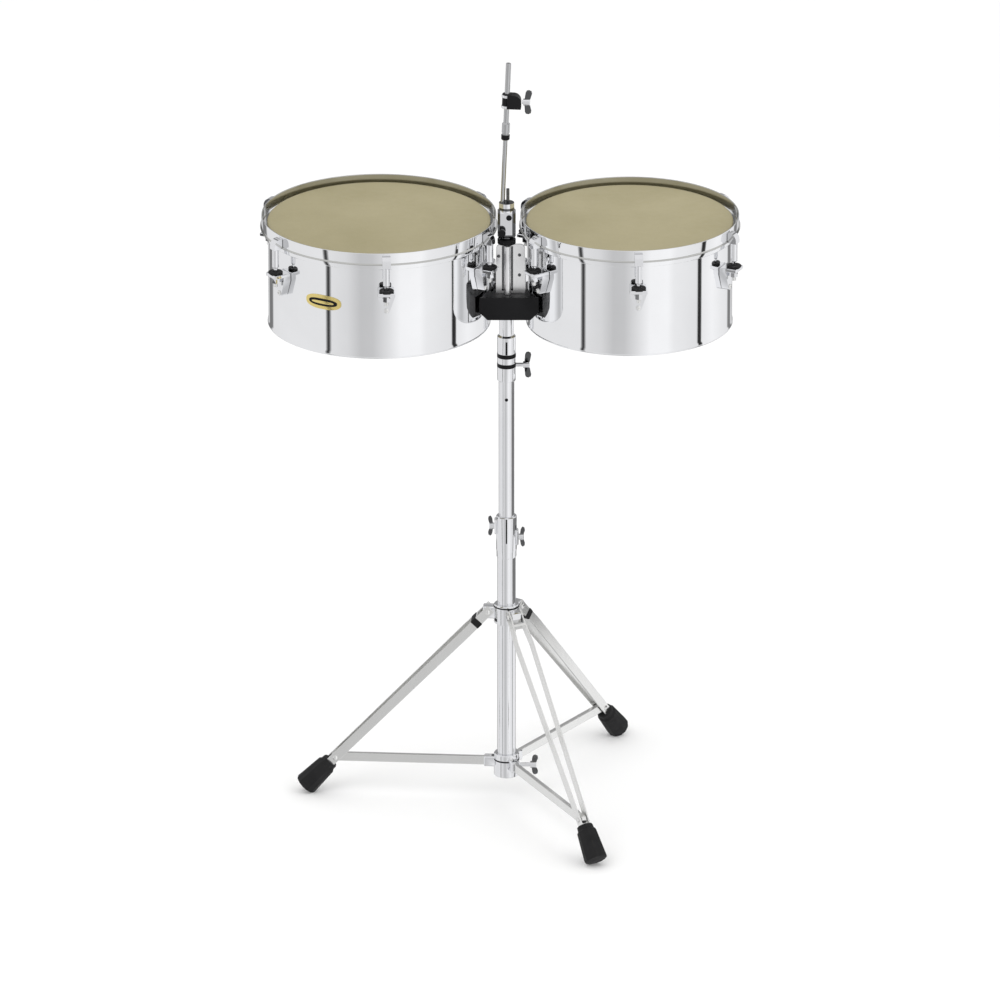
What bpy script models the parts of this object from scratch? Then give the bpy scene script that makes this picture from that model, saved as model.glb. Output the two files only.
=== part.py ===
"""Timbales: two single-headed steel drums on a height-adjustable tripod stand.

Metres, +Z up.  The stand's vertical axis is at AXIS_X, AXIS_Y, which puts the
origin on the floor under the middle of the object's box.  The player's side
of the drums, where the badge is, looks towards -Y.
"""
import math

import bmesh
import bpy
from mathutils import Matrix, Vector

# --- driving dimensions -------------------------------------------------------
AXIS_X, AXIS_Y = 0.00934, 0.01105   # the stand's axis, seen from the row's origin

GAP = 0.0003                      # air left between two pieces that touch

# drums: shell radius 14 in and 13 in drums, measured at the shell's outside
DRUMS = {"left": {"radius": 0.1780, "x": -0.2045, "plate_angle": 78.0},
         "right": {"radius": 0.1650, "x": 0.1975, "plate_angle": -78.0}}
HOOP_TOP = 1.0100
HOOP_HEIGHT = 0.0200
HEAD_DROP = 0.0105                # the head lies this far below the hoop's top edge
SHELL_BOTTOM = 0.8280
SHELL_WALL = 0.0020
HEAD_FILM = 0.0005
DRUM_SIDES = 48
LUG_COUNT = 6
LUG_START = 4.0                   # the first lug's angle from -Y towards +X, degrees
LUG_TOP = 0.9487                  # the shelf that a tuning washer sits on
LUG_HEIGHT = 0.0400
LUG_WIDTH = 0.0270
LUG_DEPTH = 0.0125                # how far the lug's body stands off the shell
SHELF_REACH = 0.0300
SHELF_THICKNESS = 0.0060
ROD_OFFSET = 0.0200               # tuning rod's axis, outside the shell
ROD_RADIUS = 0.0032
ROD_BORE = 0.0037
NUT_RADIUS = 0.0065
NUT_HEIGHT = 0.0100
ROD_END = 0.0225                  # the thread ends this far below the shelf's top
CLAW_WIDTH, CLAW_REACH, CLAW_BEND = 0.0135, 0.0262, 0.0125

# cradle that carries both drums
CRADLE_BOTTOM, CRADLE_TOP = 0.8590, 0.8970
CRADLE_FRONT, CRADLE_BACK = -0.0850, 0.0350
CRADLE_CLEARANCE = 0.0040         # air between the cradle's hollow sides and the shells
PLATE_WIDTH, PLATE_DEPTH = 0.0260, 0.0108
PLATE_BOTTOM, PLATE_TOP = 0.8680, 0.9440
TILT_Z = 0.8780
EAR_RADIUS, EAR_HALF = 0.0140, 0.0100
TILT_BOLT_RADIUS, TILT_BORE = 0.0040, 0.0043
BRACKET_X = (-0.0168, 0.0300)
BRACKET_Y = -0.0605
BRACKET_TOP = 0.9800

# accessory rod and its clamp
ROD_LEAN = math.radians(2.3)      # the accessory rod leans this much towards +X
ROD_FOOT = Vector((-0.0086, -0.0605, 0.9900))
CLAMP_BOTTOM, CLAMP_TOP, CAP_TOP = 0.9930, 1.0390, 1.0510
CLAMP_HALF_WIDTH, CLAMP_HALF_DEPTH = 0.0145, 0.0120
CAP_RADIUS, NECK_RADIUS = 0.0122, 0.0100
KEY_X, KEY_RADIUS, KEY_TOP = 0.0022, 0.0027, 1.0740
KNOB_X, KNOB_Z = -0.0075, 1.0055
THIN_ROD, THICK_ROD, COUPLER_RADIUS = 0.0035, 0.0042, 0.0063
THIN_ROD_LENGTH = 0.1710
COUPLER_START, COUPLER_LENGTH = 0.1670, 0.0290
ROD_TOP = 0.2965                  # measured along the rod from ROD_FOOT
TOP_CLAMP_AT = 0.2320
TOP_NUT_OUT = 0.0270              # the wing nut, from the rod's axis

# mast
UPPER_RADIUS, LOWER_RADIUS, TUBE_WALL = 0.0127, 0.0150, 0.0015
UPPER_BOTTOM, UPPER_TOP = 0.2850, 0.7850
LOWER_BOTTOM, LOWER_TOP = 0.0375, 0.4310
POST_BOTTOM, POST_SHOULDER, POST_TOP = 0.7250, 0.8020, 0.8500
POST_RADIUS, POST_NECK, POST_WING_Z = 0.0150, 0.0120, 0.7515
CLAMP_Z = (0.4204, 0.4916)
HEIGHT_WINGS = {"left": 0.4734, "right": 0.4543}
BOSS_REACH = 0.0195                # the wing bolts' bosses end this far from the axis

# tripod, seen in one leg's plane: (distance from the axis, height)
LEG_AZIMUTHS = {"left": 176.0, "back": 56.0, "front": 296.0}
LEG_PIVOT = (0.0300, 0.3260)
LEG_LEAN = math.radians(43.5)     # leg from the vertical
LEG_JOINT = 0.3622                # strut's joint, along the leg from its pivot
LEG_END = 0.4180
LEG_STRIP, LEG_STRIP_WIDTH = 0.0024, 0.0150
BRACE_RADIUS = 0.0285             # strut's pivot from the axis
STRUT_HEIGHT, STRUT_THICKNESS = 0.0140, 0.0080
HUB_Z = (0.3060, 0.3386)
BRACE_Z = (0.0395, 0.0780)
HUB_OUTER = 0.0205
HUB_WING_Z = 0.0560
LEG_FORK = 0.0117                 # half the leg's outside width at its pivot
FOOT_START, FOOT_END = 0.3735, 0.4345
FOOT_COLLAR, FOOT_SHOULDER, FOOT_SOLE = 0.0132, 0.0162, 0.0205
NOTCH_END, NOTCH_HALF = 0.4140, 0.0054    # room in the foot for the strut's end

COLOURS = {"chrome": ((0.80, 0.81, 0.82), 0.12, 1.0),
           "steel": ((0.78, 0.78, 0.78), 0.22, 1.0),
           "film": ((0.47, 0.41, 0.25), 0.45, 0.0),
           "cast_black": ((0.02, 0.02, 0.02), 0.50, 0.0),
           "rubber": ((0.02, 0.02, 0.02), 0.80, 0.0)}


# --- scene helpers --------------------------------------------------------------
def clear_scene():
    for obj in list(bpy.data.objects):
        bpy.data.objects.remove(obj, do_unlink=True)


def collection(name):
    group = bpy.data.collections.new(name)
    bpy.context.scene.collection.children.link(group)
    return group


def material(name, kind):
    colour, roughness, metallic = COLOURS[kind]
    made = bpy.data.materials.new(name)
    made.use_nodes = True
    shader = made.node_tree.nodes["Principled BSDF"]
    shader.inputs["Base Color"].default_value = (*colour, 1.0)
    shader.inputs["Roughness"].default_value = roughness
    shader.inputs["Metallic"].default_value = metallic
    return made


def empty(name, location, rotation=(0.0, 0.0, 0.0), parent=None):
    guide = bpy.data.objects.new(name, None)
    PARTS.objects.link(guide)
    guide.location = location
    guide.rotation_euler = rotation
    guide.parent = parent
    return guide


def part(name, mesh, kind, parent, location=(0, 0, 0), rotation=(0, 0, 0), smooth=True):
    """One named sub-part, with its own material, under the given parent."""
    obj = bpy.data.objects.new(name, mesh)
    PARTS.objects.link(obj)
    obj.parent = parent
    obj.location = location
    obj.rotation_euler = rotation
    if not mesh.materials:
        mesh.materials.append(material(name, kind))
    if smooth:
        mesh.shade_smooth()
        mesh.set_sharp_from_angle(angle=math.radians(35))
    return obj


# --- shape helpers: each returns a loose object in the cutters collection -------
def tool(mesh, location=(0, 0, 0), rotation=(0, 0, 0)):
    obj = bpy.data.objects.new("tool", mesh)
    TOOLS.objects.link(obj)
    obj.hide_render = True
    obj.display_type = "WIRE"
    obj.location = location
    obj.rotation_euler = rotation
    return obj


def evaluated_mesh(obj):
    """The object's mesh with its modifiers and its own placement applied."""
    bpy.context.view_layer.update()
    graph = bpy.context.evaluated_depsgraph_get()
    mesh = bpy.data.meshes.new_from_object(obj.evaluated_get(graph), depsgraph=graph)
    bm = bmesh.new()
    bm.from_mesh(mesh)
    bmesh.ops.remove_doubles(bm, verts=bm.verts, dist=1e-6)
    bm.to_mesh(mesh)
    bm.free()
    mesh.transform(obj.matrix_world)
    mesh.materials.clear()
    return mesh


def bake(obj):
    mesh = evaluated_mesh(obj)
    bpy.data.objects.remove(obj, do_unlink=True)
    return mesh


def box(low, high, rounding=0.0, rotation=(0, 0, 0), pivot=None):
    """A block between two corners, turned about pivot (its centre by default)."""
    low, high = Vector(low), Vector(high)
    centre = (low + high) / 2
    pivot = centre if pivot is None else Vector(pivot)
    bm = bmesh.new()
    bmesh.ops.create_cube(bm, size=1.0)
    bmesh.ops.scale(bm, vec=high - low, verts=bm.verts)
    bmesh.ops.translate(bm, vec=centre - pivot, verts=bm.verts)
    mesh = bpy.data.meshes.new("box")
    bm.to_mesh(mesh)
    bm.free()
    obj = tool(mesh, pivot, rotation)
    if rounding:
        bevel = obj.modifiers.new("round", "BEVEL")
        bevel.width = rounding
        bevel.segments = 1
    return obj


def cylinder(radius, start, end, sides=24, radius_end=None):
    """A cylinder or cone between two points."""
    start, end = Vector(start), Vector(end)
    bm = bmesh.new()
    bmesh.ops.create_cone(bm, cap_ends=True, segments=sides, radius1=radius,
                          radius2=radius if radius_end is None else radius_end,
                          depth=(end - start).length)
    mesh = bpy.data.meshes.new("cylinder")
    bm.to_mesh(mesh)
    bm.free()
    turn = (end - start).to_track_quat("Z", "Y")
    mesh.transform(Matrix.Translation((start + end) / 2) @ turn.to_matrix().to_4x4())
    return tool(mesh)


def turned(profile, sides=32, ring=False):
    """A profile of (radius, height), top to bottom, turned about Z.  ring joins its ends."""
    points = [(radius, 0.0, height) for radius, height in profile]
    edges = [(i, i + 1) for i in range(len(points) - 1)]
    if ring:
        edges.append((len(points) - 1, 0))
    mesh = bpy.data.meshes.new("profile")
    mesh.from_pydata(points, edges, [])
    obj = tool(mesh)
    screw = obj.modifiers.new("turn", "SCREW")
    screw.axis = "Z"
    screw.angle = 2 * math.pi
    screw.steps = sides
    screw.render_steps = sides
    screw.use_merge_vertices = True
    screw.merge_threshold = 0.00001
    return obj


def outline(loops, thickness, rotation=(0, 0, 0), location=(0, 0, 0)):
    """Flat loops in XY (the later ones are holes), given a thickness along Z."""
    curve = bpy.data.curves.new("outline", "CURVE")
    curve.dimensions = "2D"
    curve.fill_mode = "BOTH"
    curve.extrude = thickness / 2
    for loop in loops:
        spline = curve.splines.new("POLY")
        spline.points.add(len(loop) - 1)
        for point, (x, y) in zip(spline.points, loop):
            point.co = (x, y, 0.0, 1.0)
        spline.use_cyclic_u = True
    obj = tool(curve, location, rotation)
    mesh = bake(obj)
    return tool(mesh)


def combine(base, others, operation="UNION"):
    """Join the other shapes to the base, or cut them out of it, one after another."""
    for other in others:
        cut = base.modifiers.new(operation.lower(), "BOOLEAN")
        cut.operation = operation
        cut.solver = "EXACT"
        cut.object = other
    mesh = bake(base)
    for other in others:
        bpy.data.objects.remove(other, do_unlink=True)
    return tool(mesh)


def arc(centre_x, centre_y, radius, start, end, count):
    """Points on an arc, from the start angle to the end angle in degrees."""
    turn = [math.radians(start + (end - start) * i / (count - 1)) for i in range(count)]
    return [(centre_x + radius * math.cos(a), centre_y + radius * math.sin(a)) for a in turn]


# --- drums -----------------------------------------------------------------------
def shell_profile(radius):
    top = HOOP_TOP - HEAD_DROP - HEAD_FILM - 2 * GAP
    bottom = SHELL_BOTTOM
    inner = radius - SHELL_WALL
    return [(radius - 0.0012, top), (radius, top - 0.0030), (radius, bottom + 0.0045),
            (radius + 0.0014, bottom + 0.0026), (radius + 0.0014, bottom),
            (radius - 0.0012, bottom), (inner, bottom + 0.0030), (inner, top - 0.0060),
            (inner - 0.0025, top - 0.0040), (inner - 0.0025, top)]


def head_profile(radius):
    top = HOOP_TOP - HEAD_DROP
    collar, wall = radius + 0.0012, radius + 0.0005
    hoop_out = radius + 0.0080
    hoop_top, hoop_bottom = HOOP_TOP - HOOP_HEIGHT - 0.0007, HOOP_TOP - HOOP_HEIGHT - 0.0085
    return [(0.0, top), (radius - 0.0010, top), (collar, top - 0.0020), (collar, hoop_top),
            (hoop_out, hoop_top), (hoop_out, hoop_bottom), (wall, hoop_bottom),
            (wall, top - 0.0022), (radius - 0.0014, top - HEAD_FILM), (0.0, top - HEAD_FILM)]


def hoop_profile(radius):
    top, bottom = HOOP_TOP, HOOP_TOP - HOOP_HEIGHT
    wall = radius + 0.0105
    lip = radius + 0.0125
    inside = radius + 0.0085
    seat = radius + 0.0020
    floor = 0.0020
    return [(wall, top), (wall, bottom + floor + 0.0004), (lip, bottom + floor),
            (lip, bottom), (seat, bottom), (seat, bottom + floor),
            (inside, bottom + floor + 0.0004), (inside, top)]


def lug_mesh(radius):
    """A tapered lug with a shelf for the tuning rod and the nut under it, at angle 0."""
    back = -(radius + GAP)
    tip, half = 0.0055, LUG_WIDTH / 2
    tip_z = -LUG_HEIGHT + tip
    front = [(half, -0.0012), (half, -0.0130)]
    front += [(x, z + tip_z) for x, z in arc(0, 0, tip, -12, -168, 9)]
    front += [(-half, -0.0130), (-half, -0.0012)]
    body = outline([front[::-1]], LUG_DEPTH, rotation=(math.pi / 2, 0, 0),
                   location=(0, back - LUG_DEPTH / 2, LUG_TOP))
    inset = 0.0004                 # keeps the shelf's faces off the body's planes
    shelf = box((-half - inset, -(radius + SHELF_REACH), LUG_TOP - SHELF_THICKNESS),
                (half + inset, back - inset, LUG_TOP), rounding=0.0010)
    rod_y = -(radius + ROD_OFFSET)
    nut = cylinder(NUT_RADIUS, (0, rod_y, LUG_TOP - SHELF_THICKNESS - NUT_HEIGHT),
                   (0, rod_y, LUG_TOP - SHELF_THICKNESS / 2), sides=6)
    bore = cylinder(ROD_BORE, (0, rod_y, LUG_TOP - 0.04), (0, rod_y, LUG_TOP + 0.01), sides=12)
    solid = combine(body, [shelf, nut])
    return bake(combine(solid, [bore], "DIFFERENCE"))


def hook_mesh(radius):
    """A claw that grips the hoop's lower lip, and its tuning rod, at angle 0."""
    wall, lip = radius + 0.0110, radius + 0.0130
    outer, bend = radius + CLAW_REACH, CLAW_BEND
    seat, bottom, top = (HOOP_TOP - HOOP_HEIGHT + 0.0025, HOOP_TOP - HOOP_HEIGHT - 0.0005,
                         HOOP_TOP - 0.0030)
    side = [(-wall, top - 0.0015), (-wall, seat), (-lip, seat), (-lip, bottom), (-outer, bottom)]
    side += arc(-outer + bend, top - bend, bend, 180, 90, 7)
    side += [(-wall - 0.0015, top)]
    claw = outline([side[::-1]], CLAW_WIDTH, rotation=(math.pi / 2, 0, math.pi / 2))
    edge = claw.modifiers.new("round", "BEVEL")
    edge.width = 0.0009
    edge.segments = 1
    edge.limit_method = "ANGLE"
    edge.angle_limit = math.radians(50)
    rod_y = -(radius + ROD_OFFSET)
    rod = cylinder(ROD_RADIUS, (0, rod_y, LUG_TOP - ROD_END), (0, rod_y, bottom + 0.004), sides=12)
    return bake(combine(claw, [rod]))


def mount_plate_mesh(radius):
    """The casting on each shell that drops into the cradle's pocket, at angle 0."""
    back = -(radius + GAP)
    return bake(box((-PLATE_WIDTH / 2, back - PLATE_DEPTH, PLATE_BOTTOM),
                    (PLATE_WIDTH / 2, back, PLATE_TOP), rounding=0.0022))


def build_drum(side, stand):
    size = DRUMS[side]
    radius = size["radius"]
    drum = empty(f"drum_{side}_axis", (size["x"], 0, 0), parent=stand)
    for name, profile, ring, kind in (("shell", shell_profile(radius), True, "chrome"),
                                      ("head", head_profile(radius), False, "film"),
                                      ("hoop", hoop_profile(radius), True, "chrome")):
        mesh = bake(turned(profile, DRUM_SIDES, ring))
        part(f"{name}_{side}", mesh, kind, drum)
    lug, hook = lug_mesh(radius), hook_mesh(radius)
    for i in range(LUG_COUNT):
        angle = math.radians(LUG_START + i * 360.0 / LUG_COUNT)
        part(f"lug_{side}_{i + 1}", lug, "chrome", drum, rotation=(0, 0, angle))
        part(f"hook_{side}_{i + 1}", hook, "chrome", drum, rotation=(0, 0, angle))
    part(f"mount_plate_{side}", mount_plate_mesh(radius), "chrome", drum,
         rotation=(0, 0, math.radians(size["plate_angle"])))


# --- cradle between the drums ------------------------------------------------------
def cradle_side(side, y):
    """The cradle's hollow side next to a shell, at depth y."""
    size = DRUMS[side]
    reach = math.sqrt((size["radius"] + CRADLE_CLEARANCE) ** 2 - y * y)
    return size["x"] + (reach if side == "left" else -reach)


def plate_pocket(side):
    size = DRUMS[side]
    radius = size["radius"]
    half, play = PLATE_WIDTH / 2, 0.0006
    return box((size["x"] - half - play, -radius - PLATE_DEPTH - GAP - play, PLATE_BOTTOM - GAP),
               (size["x"] + half + play, -radius + 0.02, CRADLE_TOP + 0.01),
               rotation=(0, 0, math.radians(size["plate_angle"])), pivot=(size["x"], 0, CRADLE_TOP))


def cradle_mesh():
    steps = 12
    depth = CRADLE_BACK - CRADLE_FRONT
    ys = [CRADLE_FRONT + depth * i / steps for i in range(steps + 1)]
    plan = [(cradle_side("right", y), y) for y in ys]
    plan += [(cradle_side("left", y), y) for y in reversed(ys)]
    height = CRADLE_TOP - CRADLE_BOTTOM
    block = outline([plan], height, location=(0, 0, (CRADLE_TOP + CRADLE_BOTTOM) / 2))
    chamfer, big = 0.0130, 0.0800
    cuts = []
    for side, turn in (("left", -1), ("right", 1)):
        corner = (cradle_side(side, CRADLE_FRONT), 0, CRADLE_BOTTOM)
        shift = chamfer / math.sqrt(2)
        cuts.append(box((corner[0] - big / 2, CRADLE_FRONT - 0.02, CRADLE_BOTTOM - big),
                        (corner[0] + big / 2, CRADLE_FRONT + 0.045, CRADLE_BOTTOM + shift),
                        rotation=(0, -turn * math.pi / 4, 0), pivot=corner))
    slot_front = 0.0260
    cuts.append(box((-EAR_HALF - 0.0005, -slot_front, CRADLE_BOTTOM - 0.01),
                    (EAR_HALF + 0.0005, CRADLE_BACK + 0.02, CRADLE_TOP + 0.01)))
    cuts.append(cylinder(TILT_BORE, (-0.06, 0, TILT_Z), (0.06, 0, TILT_Z), sides=20))
    cuts += [plate_pocket("left"), plate_pocket("right")]
    return bake(combine(block, cuts, "DIFFERENCE"))


def bracket_mesh():
    """A rounded plate standing on the cradle, with a round rib down its front."""
    low, high = BRACKET_X
    width, corner = high - low, 0.0085
    bottom, top = CRADLE_TOP + GAP, BRACKET_TOP
    face = [(low, bottom), (high, bottom)]
    face += arc(high - corner, top - corner, corner, 0, 90, 6)
    face += arc(low + corner, top - corner, corner, 90, 180, 6)
    plate = outline([face], 0.0040, rotation=(math.pi / 2, 0, 0), location=(0, BRACKET_Y, 0))
    rib_x, rib_y, rib = 0.0016, BRACKET_Y - 0.0055, 0.0056
    tube = cylinder(rib, (rib_x, rib_y, bottom + 0.0002), (rib_x, rib_y, top - 0.0015), sides=20)
    foot = box((low + 0.0005, BRACKET_Y - 0.001, bottom + 0.0001),
               (low + width - 0.0005, BRACKET_Y + 0.0095, bottom + 0.0035))
    return bake(combine(plate, [tube, foot]))


def rod_point(distance):
    """A point on the accessory rod's axis, this far up from ROD_FOOT."""
    return ROD_FOOT + Vector((math.sin(ROD_LEAN), 0, math.cos(ROD_LEAN))) * distance


def rod_clamp_mesh():
    centre_x, centre_y = 0.0002, BRACKET_Y
    body = box((centre_x - CLAMP_HALF_WIDTH, centre_y - CLAMP_HALF_DEPTH, CLAMP_BOTTOM),
               (centre_x + CLAMP_HALF_WIDTH, centre_y + CLAMP_HALF_DEPTH, CLAMP_TOP),
               rounding=0.0035)
    cap = cylinder(CAP_RADIUS, (centre_x, centre_y, CLAMP_TOP - 0.002),
                   (centre_x, centre_y, CAP_TOP))
    neck = cylinder(NECK_RADIUS, (centre_x, centre_y, BRACKET_TOP + GAP),
                    (centre_x, centre_y, CLAMP_BOTTOM + 0.006))
    key = cylinder(KEY_RADIUS, (KEY_X, centre_y, CAP_TOP - 0.003), (KEY_X, centre_y, KEY_TOP),
                   sides=10)
    bore = cylinder(THIN_ROD + 0.0004, rod_point(-0.0050), rod_point(0.09), sides=16)
    solid = combine(body, [cap, neck, key])
    return bake(combine(solid, [bore], "DIFFERENCE"))


def upper_rod_mesh():
    """The coupler and the thicker upper rod, turned in one, along Z from the coupler's foot."""
    socket = THIN_ROD_LENGTH - COUPLER_START + 0.0006
    length = ROD_TOP - COUPLER_START
    profile = [(0.0, length), (THICK_ROD - 0.0008, length), (THICK_ROD, length - 0.0010),
               (THICK_ROD, COUPLER_LENGTH), (COUPLER_RADIUS - 0.0006, COUPLER_LENGTH),
               (COUPLER_RADIUS, COUPLER_LENGTH - 0.0008), (COUPLER_RADIUS, 0.0125),
               (COUPLER_RADIUS - 0.0010, 0.0115), (COUPLER_RADIUS - 0.0010, 0.0105),
               (COUPLER_RADIUS, 0.0095), (COUPLER_RADIUS, 0.0010),
               (COUPLER_RADIUS - 0.0008, 0.0), (THIN_ROD + 0.0004, 0.0),
               (THIN_ROD + 0.0004, socket), (0.0, socket)]
    return bake(turned(profile, 20))


def top_clamp_mesh():
    """The jaw on the upper rod, in the rod's own frame with its axis along Z."""
    low, high, depth = -0.0105, 0.0125, 0.0180
    collar = cylinder(0.0078, (0, 0, low - 0.0005), (0, 0, high + 0.0005), sides=20)
    jaw = outline([[(0.0, low), (0.0222, low), (0.0230, low + 0.0040)]
                   + arc(0.0105, 0.0, high, -5, 95, 8) + [(0.0, high)]],
                  depth, rotation=(math.pi / 2, 0, 0))
    bore = cylinder(THICK_ROD + 0.0004, (0, 0, -0.03), (0, 0, 0.03), sides=16)
    return bake(combine(combine(collar, [jaw]), [bore], "DIFFERENCE"))


def wing_mesh(height, reach, stem, stem_radius=0.0032, hub=0.0055, thickness=0.0045):
    """A wing bolt along +X: a round stem and hub, then two wings that flare outwards."""
    half, root = height / 2, hub * 0.75
    top = [(0.0010, root), (0.0022, half - 0.0040), (0.0040, half - 0.0008),
           (reach * 0.62, half), (reach * 0.93, half - 0.0018), (reach, half - 0.0055),
           (reach * 0.80, root + 0.0012)]
    loop = top[::-1] + [(x, -z) for x, z in top]
    wings = outline([loop], thickness, rotation=(math.pi / 2, 0, 0))
    edge = wings.modifiers.new("round", "BEVEL")
    edge.width = 0.0009
    edge.segments = 1
    edge.limit_method = "ANGLE"
    edge.angle_limit = math.radians(60)
    boss = cylinder(hub, (-0.0010, 0, 0), (reach * 0.72, 0, 0), sides=18)
    shank = cylinder(stem_radius, (-stem, 0, 0), (0.0020, 0, 0), sides=12)
    return bake(combine(boss, [wings, shank]))


def build_cradle(stand):
    part("cradle_block", cradle_mesh(), "cast_black", stand)
    bolt = bake(cylinder(TILT_BOLT_RADIUS, (-0.0185, 0, 0), (0.0275, 0, 0), sides=16))
    part("tilt_bolt", bolt, "steel", stand, location=(0, 0, TILT_Z))
    part("cradle_bracket", bracket_mesh(), "chrome", stand)
    part("rod_clamp", rod_clamp_mesh(), "chrome", stand)
    knob_y = BRACKET_Y - CLAMP_HALF_DEPTH - GAP
    knob = bake(turned([(0.0, 0.0120), (0.0045, 0.0120), (0.0062, 0.0105), (0.0062, 0.0035),
                        (0.0040, 0.0025), (0.0040, 0.0), (0.0, 0.0)], 16))
    part("rod_clamp_knob", knob, "cast_black", stand, location=(KNOB_X, knob_y, KNOB_Z),
         rotation=(math.pi / 2, 0, 0))


def build_accessory_rod(stand):
    lean = (0, ROD_LEAN, 0)
    thin = bake(cylinder(THIN_ROD, (0, 0, 0), (0, 0, THIN_ROD_LENGTH), sides=16))
    part("accessory_rod_lower", thin, "chrome", stand, location=ROD_FOOT, rotation=lean)
    part("accessory_rod_upper", upper_rod_mesh(), "chrome", stand,
         location=rod_point(COUPLER_START), rotation=lean)
    part("top_clamp", top_clamp_mesh(), "cast_black", stand,
         location=rod_point(TOP_CLAMP_AT), rotation=lean)
    nut = wing_mesh(0.0400, 0.0125, 0.0030)
    reach = Matrix.Rotation(ROD_LEAN, 3, "Y") @ Vector((TOP_NUT_OUT, 0, 0))
    part("top_wing_nut", nut, "chrome", stand, location=rod_point(TOP_CLAMP_AT) + reach,
         rotation=lean)


# --- mast -------------------------------------------------------------------------
def tube_mesh(radius, bottom, top):
    inner = radius - TUBE_WALL
    return bake(turned([(radius, top), (radius, bottom), (inner, bottom), (inner, top)], 32, True))


def post_mesh():
    """The swivel post: a clamping collar below, and above it the ear that the cradle tilts on."""
    collar, neck, bore = POST_RADIUS, POST_NECK, UPPER_RADIUS + GAP
    profile = [(0.0, POST_TOP), (neck - 0.0010, POST_TOP), (neck, POST_TOP - 0.0010),
               (neck, POST_SHOULDER + 0.0015), (collar, POST_SHOULDER - 0.0010),
               (collar, POST_BOTTOM + 0.0010), (collar - 0.0008, POST_BOTTOM),
               (bore, POST_BOTTOM), (bore, UPPER_TOP + 0.001), (0.0, UPPER_TOP + 0.001)]
    post = turned(profile, 24)
    root = box((-EAR_HALF, -0.0105, POST_TOP - 0.006), (EAR_HALF, 0.0105, TILT_Z))
    ear = cylinder(EAR_RADIUS, (-EAR_HALF + 0.0001, 0, TILT_Z), (EAR_HALF - 0.0001, 0, TILT_Z))
    bore_x = cylinder(TILT_BORE, (-0.03, 0, TILT_Z), (0.03, 0, TILT_Z), sides=20)
    solid = combine(post, [root, ear])
    return bake(combine(solid, [bore_x], "DIFFERENCE"))


def height_clamp_mesh():
    low, high = CLAMP_Z
    outer, upper_bore, lower_bore = 0.0168, UPPER_RADIUS + GAP, LOWER_RADIUS + GAP
    step = LOWER_TOP + GAP
    profile = [(outer - 0.0010, high), (outer, high - 0.0010), (outer, 0.4330),
               (outer - 0.0006, 0.4315), (outer - 0.0006, low + 0.0010),
               (outer - 0.0012, low), (lower_bore, low), (lower_bore, step),
               (upper_bore, step), (upper_bore, high)]
    ring = turned(profile, 24, True)
    bosses = []
    for side, height in HEIGHT_WINGS.items():
        sign = -1 if side == "left" else 1
        xs = sorted((sign * 0.0150, sign * BOSS_REACH))
        bosses.append(box((xs[0], -0.0080, height - 0.0125), (xs[1], 0.0080, height + 0.0125),
                          rounding=0.0015))
    return bake(combine(ring, bosses))


def build_mast(stand):
    part("lower_tube", tube_mesh(LOWER_RADIUS, LOWER_BOTTOM, LOWER_TOP), "chrome", stand)
    part("upper_tube", tube_mesh(UPPER_RADIUS, UPPER_BOTTOM, UPPER_TOP), "chrome", stand)
    part("height_clamp", height_clamp_mesh(), "chrome", stand)
    part("tilter_post", post_mesh(), "chrome", stand)
    small = wing_mesh(0.0340, 0.0090, 0.0, hub=0.0050)
    for side, height in HEIGHT_WINGS.items():
        sign = -1 if side == "left" else 1
        part(f"height_wing_{side}", small, "chrome", stand,
             location=(sign * (BOSS_REACH + 0.0010 + GAP), 0, height),
             rotation=(0, 0, 0 if sign > 0 else math.pi))
    stem = 0.0125
    part("post_wing", wing_mesh(0.0440, 0.0120, stem), "chrome", stand,
         location=(POST_RADIUS + GAP + stem, 0, POST_WING_Z))


# --- tripod -------------------------------------------------------------------------
def leg_frame(azimuth):
    return (0, -LEG_LEAN, math.radians(azimuth))


def pivot_point(azimuth, radius, height):
    turn = math.radians(azimuth)
    return (radius * math.cos(turn), radius * math.sin(turn), height)


def leg_mesh():
    """Two strips that part below the hub and close towards the foot, along -Z from the pivot."""
    fork, wide, narrow = LEG_FORK, 0.0147, 0.0069
    tie_top, tie_end = 0.0165, 0.0205       # a short bar joins the strips just past the hub
    strip = LEG_STRIP
    start, bend, spread = -0.0075, 0.0120, 0.0500
    foot_tie = LEG_END - 0.0060

    def outer(distance):
        if distance <= bend:
            return fork
        if distance <= spread:
            return fork + (wide - fork) * (distance - bend) / (spread - bend)
        return wide + (narrow - wide) * (distance - spread) / (LEG_END - spread)

    def inner(distance):
        return outer(distance) - strip

    right = [(outer(d), -d) for d in (start, bend, spread, LEG_END)]
    left = [(-x, y) for x, y in reversed(right)]
    notch = [(-inner(d), -d) for d in (start, bend, tie_top)]
    notch += [(inner(d), -d) for d in (tie_top, bend, start)]
    window = [(inner(d), -d) for d in (tie_end, spread, foot_tie)]
    window += [(-inner(d), -d) for d in (foot_tie, spread, tie_end)]
    shape = outline([right + left + notch, window], LEG_STRIP_WIDTH)
    # the outline's X is the leg's sideways direction and its Y runs along the leg
    shape.rotation_euler = (math.pi / 2, 0, math.pi / 2)
    return bake(shape)


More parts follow.
